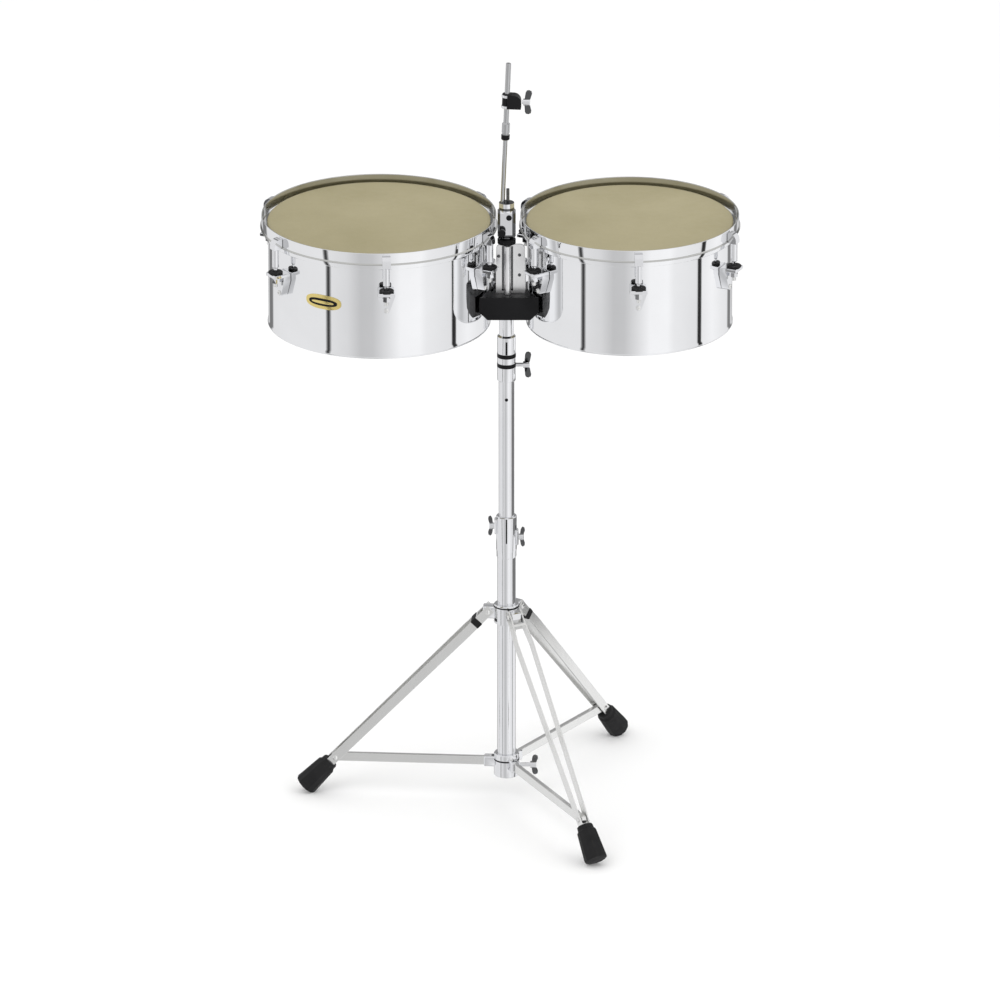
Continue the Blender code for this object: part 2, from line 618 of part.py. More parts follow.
def foot_mesh():
    """A tapered rubber boot on the leg's end, cut flat where it meets the floor."""
    collar = cylinder(FOOT_COLLAR, (0, 0, -FOOT_START), (0, 0, -FOOT_START - 0.0100),
                      sides=20, radius_end=FOOT_COLLAR + 0.0004)
    boot = cylinder(FOOT_SHOULDER, (0, 0, -FOOT_START - 0.0080), (0, 0, -FOOT_END),
                    sides=20, radius_end=FOOT_SOLE)
    edge = boot.modifiers.new("round", "BEVEL")
    edge.width = 0.0035
    edge.segments = 1
    edge.limit_method = "ANGLE"
    edge.angle_limit = math.radians(50)
    solid = combine(boot, [collar])
    side, across = 0.0092, LEG_STRIP_WIDTH / 2 + 0.0004
    socket = box((-across, -side, -LEG_END - 0.0005), (across, side, -FOOT_START + 0.02))
    notch = box((0.0, -NOTCH_HALF, -NOTCH_END), (0.06, NOTCH_HALF, -FOOT_START + 0.02))
    solid = combine(solid, [socket, notch], "DIFFERENCE")
    to_leg = Matrix.Translation((LEG_PIVOT[0], 0, LEG_PIVOT[1])) @ Matrix.Rotation(-LEG_LEAN, 4, "Y")
    floor = box((-0.5, -0.5, -0.5), (1.0, 0.5, 0.0))
    floor_mesh = bake(floor)
    floor_mesh.transform(to_leg.inverted())
    return bake(combine(solid, [tool(floor_mesh)], "DIFFERENCE"))


def strut_mesh(length):
    """A flat bar with round ends, along +X from the brace hub's pivot."""
    radius = STRUT_HEIGHT / 2
    loop = arc(length, 0, radius, -90, 90, 9) + arc(0, 0, radius, 90, 270, 9)
    shape = outline([loop], STRUT_THICKNESS, rotation=(math.pi / 2, 0, 0))
    return bake(shape)


def hub_mesh(bottom, top, ear_half, ear_end, pivot_z, ear_low, ear_high, slot_half=None):
    """A ring round the lower tube with three ears, solid or forked, one for each leg."""
    bore = LOWER_RADIUS + GAP
    rim = 0.0010
    profile = [(HUB_OUTER - rim, top), (HUB_OUTER, top - rim), (HUB_OUTER, bottom + rim),
               (HUB_OUTER - rim, bottom), (bore, bottom), (bore, top)]
    ring = turned(profile, 24, True)
    ears, slots = [], []
    for azimuth in LEG_AZIMUTHS.values():
        turn = (0, 0, math.radians(azimuth))
        ear = box((HUB_OUTER - 0.0030, -ear_half, ear_low), (ear_end, ear_half, ear_high),
                  rounding=0.0015, rotation=turn, pivot=(0, 0, pivot_z))
        ears.append(ear)
        if slot_half:
            slots.append(box((HUB_OUTER + 0.0002, -slot_half, ear_low - 0.01),
                             (ear_end + 0.01, slot_half, ear_high + 0.01),
                             rotation=turn, pivot=(0, 0, pivot_z)))
    solid = combine(ring, ears)
    if slots:
        solid = combine(solid, slots, "DIFFERENCE")
    return bake(solid)


def build_tripod(stand):
    joint_radius = LEG_PIVOT[0] + LEG_JOINT * math.sin(LEG_LEAN)
    joint_height = LEG_PIVOT[1] - LEG_JOINT * math.cos(LEG_LEAN)
    fork_inside = LEG_FORK - LEG_STRIP
    leg_hub = hub_mesh(*HUB_Z, fork_inside - 0.0005, LEG_PIVOT[0] + 0.0080, LEG_PIVOT[1],
                       LEG_PIVOT[1] - 0.0120, LEG_PIVOT[1] + 0.0085)
    part("leg_hub", leg_hub, "chrome", stand)
    brace = hub_mesh(*BRACE_Z, 0.0078, BRACE_RADIUS + 0.0080, joint_height,
                     joint_height - 0.0085, joint_height + 0.0085,
                     slot_half=STRUT_THICKNESS / 2 + 0.0004)
    part("brace_hub", brace, "chrome", stand)
    leg, foot = leg_mesh(), foot_mesh()
    strut = strut_mesh(joint_radius - BRACE_RADIUS)
    for side, azimuth in LEG_AZIMUTHS.items():
        hinge = empty(f"leg_{side}_pivot", pivot_point(azimuth, *LEG_PIVOT), leg_frame(azimuth),
                      stand)
        part(f"leg_{side}", leg, "steel", hinge, smooth=False)
        part(f"foot_{side}", foot, "rubber", hinge)
        part(f"strut_{side}", strut, "steel", stand, smooth=False,
             location=pivot_point(azimuth, BRACE_RADIUS, joint_height),
             rotation=(0, 0, math.radians(azimuth)))
    stem = 0.0190
    part("hub_wing", wing_mesh(0.0340, 0.0115, stem), "chrome", stand,
         location=(HUB_OUTER + GAP + stem, 0, HUB_WING_Z))


clear_scene()
PARTS = collection("timbales")
TOOLS = collection("cutters")
STAND = empty("stand_axis", (AXIS_X, AXIS_Y, 0.0))
build_tripod(STAND)
build_mast(STAND)
build_cradle(STAND)
build_accessory_rod(STAND)
for drum_side in DRUMS:
    build_drum(drum_side, STAND)
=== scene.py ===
import math

import bmesh
import bpy
from mathutils import Matrix, Vector


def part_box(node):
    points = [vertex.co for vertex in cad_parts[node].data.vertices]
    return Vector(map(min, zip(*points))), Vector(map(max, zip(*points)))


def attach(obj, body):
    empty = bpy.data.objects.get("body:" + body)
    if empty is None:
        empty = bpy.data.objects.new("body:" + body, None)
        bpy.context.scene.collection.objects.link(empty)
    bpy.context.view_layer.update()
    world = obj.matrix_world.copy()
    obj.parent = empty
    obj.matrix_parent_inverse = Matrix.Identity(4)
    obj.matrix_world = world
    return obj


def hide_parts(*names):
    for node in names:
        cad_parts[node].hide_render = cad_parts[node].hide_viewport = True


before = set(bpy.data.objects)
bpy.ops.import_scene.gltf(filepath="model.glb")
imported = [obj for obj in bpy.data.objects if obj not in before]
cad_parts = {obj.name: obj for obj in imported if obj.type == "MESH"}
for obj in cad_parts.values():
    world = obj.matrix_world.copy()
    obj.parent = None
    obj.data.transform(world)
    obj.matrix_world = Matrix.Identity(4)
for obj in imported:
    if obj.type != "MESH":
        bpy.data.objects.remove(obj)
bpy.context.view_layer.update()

SIDES = ("left", "right")
LEGS = {"left": 176.0, "back": 56.0, "front": 296.0}    # each leg's azimuth from +X, degrees
SMOOTH_ANGLE = math.radians(32)



# --- places and sizes ---------------------------------------------------------------------
def span(node):
    """A node's lowest and highest corners."""
    low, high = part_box(node)
    return Vector(low), Vector(high)


TUBE_LOW, TUBE_HIGH = span("lower_tube")
STAND = (TUBE_LOW + TUBE_HIGH) / 2
STAND.z = 0.0
UPPER_LOW, UPPER_HIGH = span("upper_tube")
BEAD = 0.0014                     # the shell's lower bead stands out this far


def drum_size(side):
    low, high = span(f"shell_{side}")
    hoop_low, hoop_high = span(f"hoop_{side}")
    head_high = span(f"head_{side}")[1]
    centre = (low + high) / 2
    return {"x": centre.x, "y": centre.y, "radius": (high.x - low.x) / 2 - BEAD,
            "bottom": low.z, "top": high.z, "hoop_bottom": hoop_low.z, "hoop_top": hoop_high.z,
            "head": head_high.z}


DRUMS = {side: drum_size(side) for side in SIDES}
LUG_TOP = span("lug_left_1")[1].z
LUG_START, LUG_STEP, LUG_COUNT = 4.0, 60.0, 6           # degrees from -Y towards +X
ROD_OFFSET = 0.0200                                     # tuning rod's axis outside the shell


def at(x, y, z):
    """A point given from the stand's axis."""
    return Vector((STAND.x + x, STAND.y + y, z))


# --- materials ----------------------------------------------------------------------------
def shader_tree(name, colour, roughness, metallic, **sockets):
    """A new material with its node tree and its Principled shader."""
    made = bpy.data.materials.new(name)
    made.use_nodes = True
    tree = made.node_tree
    shader = tree.nodes["Principled BSDF"]
    shader.inputs["Base Color"].default_value = (*colour, 1.0)
    shader.inputs["Roughness"].default_value = roughness
    shader.inputs["Metallic"].default_value = metallic
    for key, value in sockets.items():
        shader.inputs[key.replace("_", " ")].default_value = value
    return made, tree, shader


def coordinates(tree, stretch=(1.0, 1.0, 1.0)):
    place = tree.nodes.new("ShaderNodeTexCoord")
    mapping = tree.nodes.new("ShaderNodeMapping")
    mapping.inputs["Scale"].default_value = stretch
    tree.links.new(place.outputs["Object"], mapping.inputs["Vector"])
    return mapping.outputs["Vector"]


def noise(tree, vector, scale, detail=4.0, rough=0.55):
    node = tree.nodes.new("ShaderNodeTexNoise")
    node.inputs["Scale"].default_value = scale
    node.inputs["Detail"].default_value = detail
    node.inputs["Roughness"].default_value = rough
    tree.links.new(vector, node.inputs["Vector"])
    return node.outputs["Fac"]


def spread(tree, value, low, high, start=0.3, end=0.7):
    """Spreads a noise value from start..end over low..high."""
    node = tree.nodes.new("ShaderNodeMapRange")
    node.inputs["From Min"].default_value = start
    node.inputs["From Max"].default_value = end
    node.inputs["To Min"].default_value = low
    node.inputs["To Max"].default_value = high
    tree.links.new(value, node.inputs["Value"])
    return node.outputs["Result"]


def colours(tree, value, first, second):
    node = tree.nodes.new("ShaderNodeMix")
    node.data_type = "RGBA"
    node.inputs["A"].default_value = (*first, 1.0)
    node.inputs["B"].default_value = (*second, 1.0)
    tree.links.new(value, node.inputs["Factor"])
    return node.outputs["Result"]


def bump(tree, shader, height, strength, distance):
    node = tree.nodes.new("ShaderNodeBump")
    node.inputs["Strength"].default_value = strength
    node.inputs["Distance"].default_value = distance
    tree.links.new(height, node.inputs["Height"])
    tree.links.new(node.outputs["Normal"], shader.inputs["Normal"])


def chrome(name, tint, rough, grain, stretch=(1.0, 1.0, 1.0), strength=0.02):
    """Plated metal: faint clouding in its colour, smudges in its roughness, a very fine grain."""
    made, tree, shader = shader_tree(name, tint, rough[0], 1.0)
    vector = coordinates(tree, stretch)
    clouds = spread(tree, noise(tree, vector, 9.0), 0.0, 1.0)
    darker = tuple(channel * 0.95 for channel in tint)
    tree.links.new(colours(tree, clouds, tint, darker), shader.inputs["Base Color"])
    smudge = spread(tree, noise(tree, vector, 26.0, 6.0), *rough)
    tree.links.new(smudge, shader.inputs["Roughness"])
    bump(tree, shader, noise(tree, vector, grain, 3.0), strength, 0.0002)
    return made


def coated(name, first, second, rough, grain, strength, distance, cloud=14.0, **sockets):
    """A non-metal surface: two mottled colours, uneven gloss and a raised grain."""
    made, tree, shader = shader_tree(name, first, rough[0], 0.0, **sockets)
    vector = coordinates(tree)
    mottle = spread(tree, noise(tree, vector, cloud, 5.0), 0.0, 1.0)
    tree.links.new(colours(tree, mottle, first, second), shader.inputs["Base Color"])
    tree.links.new(spread(tree, noise(tree, vector, 60.0), *rough), shader.inputs["Roughness"])
    bump(tree, shader, noise(tree, vector, grain, 6.0), strength, distance)
    return made


# Four finishes aren't slots of the record: hoop_painted_shade, painted_shade_and_reflection,
# satin_chrome and rod_chrome; the first two are darker chromes that paint shade and dark
# reflections.
MATERIALS = {
    "polished_steel": chrome("polished_steel", (0.93, 0.935, 0.945), (0.020, 0.050), 700.0),
    "chrome_hardware": chrome("chrome_hardware", (0.88, 0.885, 0.90), (0.050, 0.110), 900.0),
    # painted shade: a darker chrome for the hoops' inner wall and outer lip
    "hoop_painted_shade": chrome("hoop_painted_shade", (0.60, 0.60, 0.58), (0.060, 0.140), 700.0),
    # painted shade and painted dark reflection: a near-black chrome put on chosen faces
    "painted_shade_and_reflection": chrome("painted_shade_and_reflection", (0.13, 0.132, 0.135), (0.070, 0.160), 900.0),
    "satin_chrome": chrome("satin_chrome", (0.97, 0.97, 0.97), (0.30, 0.42), 900.0),
    "rod_chrome": chrome("rod_chrome", (0.52, 0.525, 0.53), (0.080, 0.180), 900.0),
    "plated_steel": chrome("plated_steel", (0.90, 0.90, 0.885), (0.19, 0.29), 260.0,
                           stretch=(1.0, 1.0, 0.12), strength=0.03),
    "drum_head": coated("drum_head", (0.425, 0.378, 0.228), (0.318, 0.280, 0.150), (0.34, 0.50),
                        1500.0, 0.25, 0.0002, cloud=3.2),
    "black_casting": coated("black_casting", (0.003, 0.003, 0.0035), (0.009, 0.009, 0.010),
                            (0.30, 0.46), 1100.0, 0.5, 0.0003, IOR=1.25),
    "black_rubber": coated("black_rubber", (0.005, 0.005, 0.0055), (0.013, 0.013, 0.0135),
                           (0.50, 0.70), 650.0, 0.7, 0.0005, IOR=1.35),
    "badge_metal": chrome("badge_metal", (0.86, 0.70, 0.27), (0.16, 0.28), 800.0, strength=0.05),
}


# --- making pieces ------------------------------------------------------------------------
def mesh_from(bm, name, matrix=None):
    """Turns a bmesh into a mesh, placed by the matrix, and frees it."""
    mesh = bpy.data.meshes.new(name)
    bm.to_mesh(mesh)
    bm.free()
    if matrix is not None:
        mesh.transform(matrix)
    return mesh


def piece(name, mesh, kind, body, replaces=None, finish=None):
    """One visible piece in its finish, riding on its body and standing for its CAD node.

    kind is the record's slot; finish is a variant of it for a piece that looks different, or a
    near-black chrome that paints shade and dark reflections.
    """
    obj = bpy.data.objects.new(name, mesh)
    bpy.context.scene.collection.objects.link(obj)
    mesh.materials.clear()
    mesh.materials.append(MATERIALS[finish or kind])
    mesh.shade_smooth()
    mesh.set_sharp_from_angle(angle=SMOOTH_ANGLE)
    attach(obj, body)
    if replaces:
        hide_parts(replaces)
    return obj


def cut(obj, normal, offsets):
    """Splits the piece's faces along planes, so part of a flat face can be given painted shade or a
    painted reflection.
    """
    bm = bmesh.new()
    bm.from_mesh(obj.data)
    for offset in offsets:
        geometry = bm.verts[:] + bm.edges[:] + bm.faces[:]
        bmesh.ops.bisect_plane(bm, geom=geometry, dist=1e-6, plane_no=normal,
                               plane_co=Vector(normal) * offset)
    bm.to_mesh(obj.data)
    bm.free()


def paint_shade_on_faces(obj, kind, chosen):
    """Gives the faces that chosen(face) picks a second, darker material: painted shade or a painted
    dark reflection.
    """
    obj.data.materials.append(MATERIALS[kind])
    for face in obj.data.polygons:
        if chosen(face):
            face.material_index = 1


def rounded(obj, width, segments=2, angle=40.0):
    """Softens the edges that are sharper than the angle, in degrees."""
    bevel = obj.modifiers.new("edges", "BEVEL")
    bevel.width = width
    bevel.segments = segments
    bevel.limit_method = "ANGLE"
    bevel.angle_limit = math.radians(angle)
    bevel.harden_normals = True
    return obj


def lathe(profile, sides=96, closed=False, matrix=None):
    """(radius, height) points turned about Z; closed joins the last point to the first."""
    bm = bmesh.new()
    rings = []
    for radius, height in profile:
        if radius < 1e-9:
            rings.append([bm.verts.new((0.0, 0.0, height))])
            continue
        turn = [2 * math.pi * i / sides for i in range(sides)]
        rings.append([bm.verts.new((radius * math.cos(a), radius * math.sin(a), height))
                      for a in turn])
    pairs = list(zip(rings, rings[1:]))
    if closed:
        pairs.append((rings[-1], rings[0]))
    for first, second in pairs:
        for i in range(sides):
            j = (i + 1) % sides
            corners = [first[i % len(first)], first[j % len(first)],
                       second[j % len(second)], second[i % len(second)]]
            bm.faces.new(list(dict.fromkeys(corners)))
    bmesh.ops.recalc_face_normals(bm, faces=bm.faces)
    return mesh_from(bm, "lathe", matrix)


def curved(centre_r, centre_z, radius, start, end, steps=6):
    """The points of an arc in a lathe's profile, its angles in degrees."""
    turn = [math.radians(start + (end - start) * i / steps) for i in range(steps + 1)]
    return [(centre_r + radius * math.cos(a), centre_z + radius * math.sin(a)) for a in turn]


def plate(points, thickness, matrix):
    """A flat outline in XY, thickened along Z about its middle."""
    bm = bmesh.new()
    low = [bm.verts.new((x, y, -thickness / 2)) for x, y in points]
    high = [bm.verts.new((x, y, thickness / 2)) for x, y in points]
    bm.faces.new(low[::-1])
    bm.faces.new(high)
    for i in range(len(points)):
        j = (i + 1) % len(points)
        bm.faces.new((low[i], low[j], high[j], high[i]))
    bmesh.ops.recalc_face_normals(bm, faces=bm.faces)
    return mesh_from(bm, "plate", matrix)


def block(low, high, matrix=None):
    """A box between two corners."""
    corners = [(low[0], low[1]), (high[0], low[1]), (high[0], high[1]), (low[0], high[1])]
    lift = Matrix.Translation((0, 0, (low[2] + high[2]) / 2))
    return plate(corners, high[2] - low[2], (matrix or Matrix()) @ lift)


def thread(radius, depth, pitch, bottom, top, matrix, sides=20, rows_per_turn=5):
    """A screw thread: a tube whose radius rises and falls along a helix."""
    count = max(2, round((top - bottom) / pitch * rows_per_turn))
    bm = bmesh.new()
    rings = []
    for row in range(count + 1):
        height = bottom + (top - bottom) * row / count
        ring = []
        for i in range(sides):
            phase = ((height - bottom) / pitch - i / sides) % 1.0
            r = radius + depth * (1.0 - abs(2.0 * phase - 1.0))
            turn = 2 * math.pi * i / sides
            ring.append(bm.verts.new((r * math.cos(turn), r * math.sin(turn), height)))
        rings.append(ring)
    for first, second in zip(rings, rings[1:]):
        for i in range(sides):
            j = (i + 1) % sides
            bm.faces.new((first[i], first[j], second[j], second[i]))
    bm.faces.new(rings[0][::-1])
    bm.faces.new(rings[-1])
    return mesh_from(bm, "thread", matrix)


def screw_head(radius, height, matrix, sides=28):
    """A domed head with a hexagon-sized socket, along +Z from its seat."""
    socket = radius * 0.42
    profile = [(0.0, 0.0), (radius, 0.0), (radius, height * 0.45)]
    profile += [(radius * 0.86, height * 0.82), (radius * 0.62, height), (socket, height),
                (socket, height * 0.35), (0.0, height * 0.30)]
    return lathe(profile, sides, matrix=matrix)


def facing(point, direction):
    """A matrix that puts +Z of a piece along direction at point."""
    turn = Vector(direction).normalized().to_track_quat("Z", "Y").to_matrix().to_4x4()
    return Matrix.Translation(point) @ turn


def finished(node, kind, body, width=0.0008, segments=2, finish=None):
    """The CAD node's own shape with its flat triangles merged and its edges softly rounded."""
    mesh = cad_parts[node].data.copy()
    bm = bmesh.new()
    bm.from_mesh(mesh)
    bmesh.ops.remove_doubles(bm, verts=bm.verts, dist=2e-6)
    bmesh.ops.dissolve_limit(bm, angle_limit=math.radians(1.0), verts=bm.verts, edges=bm.edges)
    bmesh.ops.recalc_face_normals(bm, faces=bm.faces)
    bm.to_mesh(mesh)
    bm.free()
    return rounded(piece(f"{node}_finished", mesh, kind, body, node, finish), width, segments)


def wing_bolt(node, body):
    """A cast wing bolt: a bright boss between two lobes that carry a painted dark reflection."""
    made = finished(node, "chrome_hardware", body, 0.0006)
    low, high = span(node)
    middle, boss = (low.z + high.z) / 2, 0.0050
    cut(made, (0, 0, 1), (middle - boss, middle + boss))
    # The lobes take near-black chrome: a painted dark reflection.
    paint_shade_on_faces(made, "painted_shade_and_reflection", lambda face: abs(face.center.z - middle) > boss)


# --- drums --------------------------------------------------------------------------------
DRUM_SIDES = 192


def drum_matrix(side):
    return Matrix.Translation((DRUMS[side]["x"], DRUMS[side]["y"], 0.0))


def station(side, angle):
    """The drum's frame turned so that -Y points outwards at this angle from the player's side."""
    return drum_matrix(side) @ Matrix.Rotation(math.radians(angle), 4, "Z")


def make_shell(side):
    size = DRUMS[side]
    radius, bottom, top = size["radius"], size["bottom"], size["top"]
    wall = 0.0020
    profile = curved(radius - 0.0020, top - 0.0020, 0.0020, 90, 0)
    profile += [(radius, bottom + 0.0075), (radius + 0.0003, bottom + 0.0050)]
    profile += curved(radius, bottom + BEAD, BEAD, 60, -90, 8)
    profile += [(radius - 0.0012, bottom), (radius - wall, bottom + 0.0030),
                (radius - wall, top - 0.0060), (radius - wall - 0.0025, top - 0.0040),
                (radius - wall - 0.0025, top)]
    mesh = lathe(profile, DRUM_SIDES, True, drum_matrix(side))
    piece(f"shell_{side}_polished", mesh, "polished_steel", f"drum_{side}", f"shell_{side}")


def make_head(side):
    """The film, drawn over the shell's edge, and the metal flesh hoop that it is crimped into."""
    size = DRUMS[side]
    radius, top, bottom = size["radius"], size["head"], size["hoop_bottom"]
    ring_top, ring_bottom = bottom - 0.0008, bottom - 0.0085
    film, skirt = 0.0005, ring_top + 0.0003
    profile = [(0.0, top), (radius * 0.5, top), (radius * 0.9, top), (radius - 0.0035, top)]
    profile += curved(radius - 0.0010, top - 0.0022, 0.0022, 90, 0, 5)
    profile += [(radius + 0.0012, skirt), (radius + 0.0006, skirt),
                (radius + 0.0006, top - 0.0026), (radius - 0.0014, top - film),
                (0.0, top - film)]
    mesh = lathe(profile, DRUM_SIDES, False, drum_matrix(side))
    piece(f"head_{side}_film", mesh, "drum_head", f"rim_{side}", f"head_{side}")
    inner, outer, soft = radius + 0.0006, radius + 0.0080, 0.0010
    ring = curved(outer - soft, ring_top - soft, soft, 90, 0)
    ring += curved(outer - soft, ring_bottom + soft, soft, 0, -90)
    ring += [(inner, ring_bottom), (inner, ring_top)]
    mesh = lathe(ring, DRUM_SIDES, True, drum_matrix(side))
    piece(f"flesh_hoop_{side}", mesh, "polished_steel", f"rim_{side}")


def make_hoop(side):
    size = DRUMS[side]
    radius, top, bottom = size["radius"], size["hoop_top"], size["hoop_bottom"]
    wall, inside, seat = radius + 0.0105, radius + 0.0085, radius + 0.0020
    lip, floor, edge = radius + 0.0125, 0.0020, 0.0009
    profile = curved(wall - edge, top - edge, edge, 90, 0)
    profile += [(wall, bottom + floor + 0.0010), (wall + 0.0006, bottom + floor + 0.0002)]
    profile += curved(lip - edge, bottom + edge, edge, 60, -90)
    profile += [(seat, bottom), (seat, bottom + floor), (inside - 0.0008, bottom + floor),
                (inside, bottom + floor + 0.0008)]
    profile += curved(inside + edge, top - edge, edge, 180, 90)
    mesh = lathe(profile, DRUM_SIDES, True, drum_matrix(side))
    made = piece(f"hoop_{side}_polished", mesh, "polished_steel", f"rim_{side}", f"hoop_{side}")
    centre, middle = Vector((size["x"], size["y"])), (inside + wall) / 2

    # The inner wall above the head and the outer lip take the darker chrome: painted shade.
    def shaded(face):
        reach, height = (face.center.to_2d() - centre).length, face.center.z
        return (reach < middle and height > size["head"]) or (reach > wall and height > bottom)

    paint_shade_on_faces(made, "hoop_painted_shade", shaded)


def make_tuning(side, index):
    """One station: lug, washer and screw on the shell; hook, barrel and thread on the rim."""
    radius, hoop_bottom = DRUMS[side]["radius"], DRUMS[side]["hoop_bottom"]
    name = f"{side}_{index + 1}"
    here = station(side, LUG_START + LUG_STEP * index)
    axis = here @ Matrix.Translation((0.0, -(radius + ROD_OFFSET), 0.0))
    finished(f"lug_{name}", "chrome_hardware", f"drum_{side}", 0.0009)
    finished(f"hook_{name}", "chrome_hardware", f"rim_{side}", 0.0006)
    seat, thick, wide, hole, soft = LUG_TOP + 0.0002, 0.0033, 0.0117, 0.0038, 0.0008
    washer = [(hole, seat), (wide - soft, seat), (wide, seat + soft), (wide, seat + thick - soft),
              (wide - soft, seat + thick), (hole, seat + thick)]
    piece(f"washer_{name}", lathe(washer, 48, True, axis), "black_rubber", f"drum_{side}")
    low, high, barrel, neck = 0.9585, hoop_bottom - 0.0006, 0.0055, 0.0034
    body = [(neck, low), (barrel - 0.0012, low), (barrel, low + 0.0012), (barrel, high - 0.0010),
            (barrel - 0.0010, high), (neck, high)]
    piece(f"barrel_{name}", lathe(body, 40, True, axis), "chrome_hardware", f"rim_{side}")
    rod_end = span(f"hook_{name}")[0].z
    winding = thread(0.00322, 0.00038, 0.0010, rod_end - 0.0002, LUG_TOP - 0.0010, axis)
    piece(f"thread_{name}", winding, "plated_steel", f"rim_{side}")
    lug_depth, screw_drop = 0.0128, 0.0345
    spot = here @ Vector((0.0, -(radius + lug_depth), LUG_TOP - screw_drop))
    outwards = here.to_3x3() @ Vector((0, -1, 0))
    piece(f"lug_screw_{name}", screw_head(0.0040, 0.0022, facing(spot, outwards)),
          "plated_steel", f"drum_{side}")


BADGE_ANGLE, BADGE_Z, BADGE_HALF_WIDTH, BADGE_HALF_HEIGHT = -29.6, 0.9160, 0.0320, 0.0118


def badge_mesh(half_width, half_height, standing, crown, power=2.6):
    """A rounded plate bent to the left shell, a little proud of it, with its middle raised."""
    radius = DRUMS["left"]["radius"]
    rings, sides = (0.0, 0.35, 0.7, 0.88, 0.97, 1.0), 64
    bm = bmesh.new()
    loops = []
    for ring in rings:
        loop = []
        for i in range(1 if ring == 0.0 else sides):
            turn = 2 * math.pi * i / sides
            c, s = math.cos(turn), math.sin(turn)
            x = ring * half_width * math.copysign(abs(c) ** (2 / power), c)
            z = ring * half_height * math.copysign(abs(s) ** (2 / power), s)
            r = radius + standing + crown * (1.0 - ring ** 4)
            loop.append(bm.verts.new((r * math.sin(x / radius), -r * math.cos(x / radius), z)))
        loops.append(loop)
    back = []
    for vertex in loops[-1]:
        flat = Vector((vertex.co.x, vertex.co.y, 0.0)).normalized() * (radius + 0.0002)
        back.append(bm.verts.new((flat.x, flat.y, vertex.co.z)))
    loops.append(back)
    for first, second in zip(loops, loops[1:]):
        for i in range(sides):
            j = (i + 1) % sides
            corners = [first[i % len(first)], second[i], second[j], first[j % len(first)]]
            bm.faces.new(list(dict.fromkeys(corners)))
    bm.faces.new(back)
    bmesh.ops.recalc_face_normals(bm, faces=bm.faces)
    place = station("left", BADGE_ANGLE) @ Matrix.Translation((0, 0, BADGE_Z))
    return mesh_from(bm, "badge", place)


def make_badge():
    """A blank badge: a gold plate with a plain dark field and a small gold bar on it."""
    layers = (("badge_plate", 1.0, 1.0, 0.0011, 0.0006, "badge_metal"),
              ("badge_field", 0.80, 0.52, 0.0018, 0.0004, "black_casting"),
              ("badge_bar", 0.62, 0.20, 0.0023, 0.0004, "badge_metal"))
    for name, wide, tall, standing, crown, kind in layers:
        mesh = badge_mesh(BADGE_HALF_WIDTH * wide, BADGE_HALF_HEIGHT * tall, standing, crown)
        piece(name, mesh, kind, "drum_left")


# --- cradle, bracket and accessory rod ----------------------------------------------------
ROD_LEAN = math.radians(2.3)
ROD_FOOT_X, ROD_FOOT_Z = -0.0086, 0.9900
THIN_ROD_LENGTH, COUPLER_START, COUPLER_LENGTH, ROD_TOP = 0.1710, 0.1670, 0.0290, 0.2965
TOP_CLAMP_AT = 0.2320
CLAMP_LOW, CLAMP_HIGH = span("rod_clamp")
CLAMP_FOOT, CLAMP_BODY, CLAMP_CAP = 0.9990, 1.0390, 1.0510    # the rod clamp's heights
CLAMP_Y = -0.0605                                             # its axis, from the stand's
BRACKET_FRONT = -0.0626
RIB_X, RIB_RADIUS = 0.0016, 0.0056


def make_rod_clamp():
    """The clamp has painted dark reflections down its sides, at its foot, round its neck and on its
    cap.
    """
    clamp = finished("rod_clamp", "chrome_hardware", "cradle", 0.0006)
    middle, half = (CLAMP_HIGH.x + CLAMP_LOW.x) / 2, (CLAMP_HIGH.x - CLAMP_LOW.x) / 2
    left, right = middle - 0.70 * half, middle + 0.62 * half
    ring_low, ring_high = CLAMP_BODY + 0.0004, CLAMP_BODY + 0.0046
    cut(clamp, (1, 0, 0), (left, right))
    cut(clamp, (0, 0, 1), (CLAMP_FOOT, ring_low, ring_high))

    def shaded(face):
        x, _, z = face.center
        on_side = z < ring_low and not left < x < right
        return on_side or z < CLAMP_FOOT or ring_low < z < ring_high or z > CLAMP_CAP - 0.0005

    # These faces take near-black chrome: painted dark reflections.
    paint_shade_on_faces(clamp, "painted_shade_and_reflection", shaded)


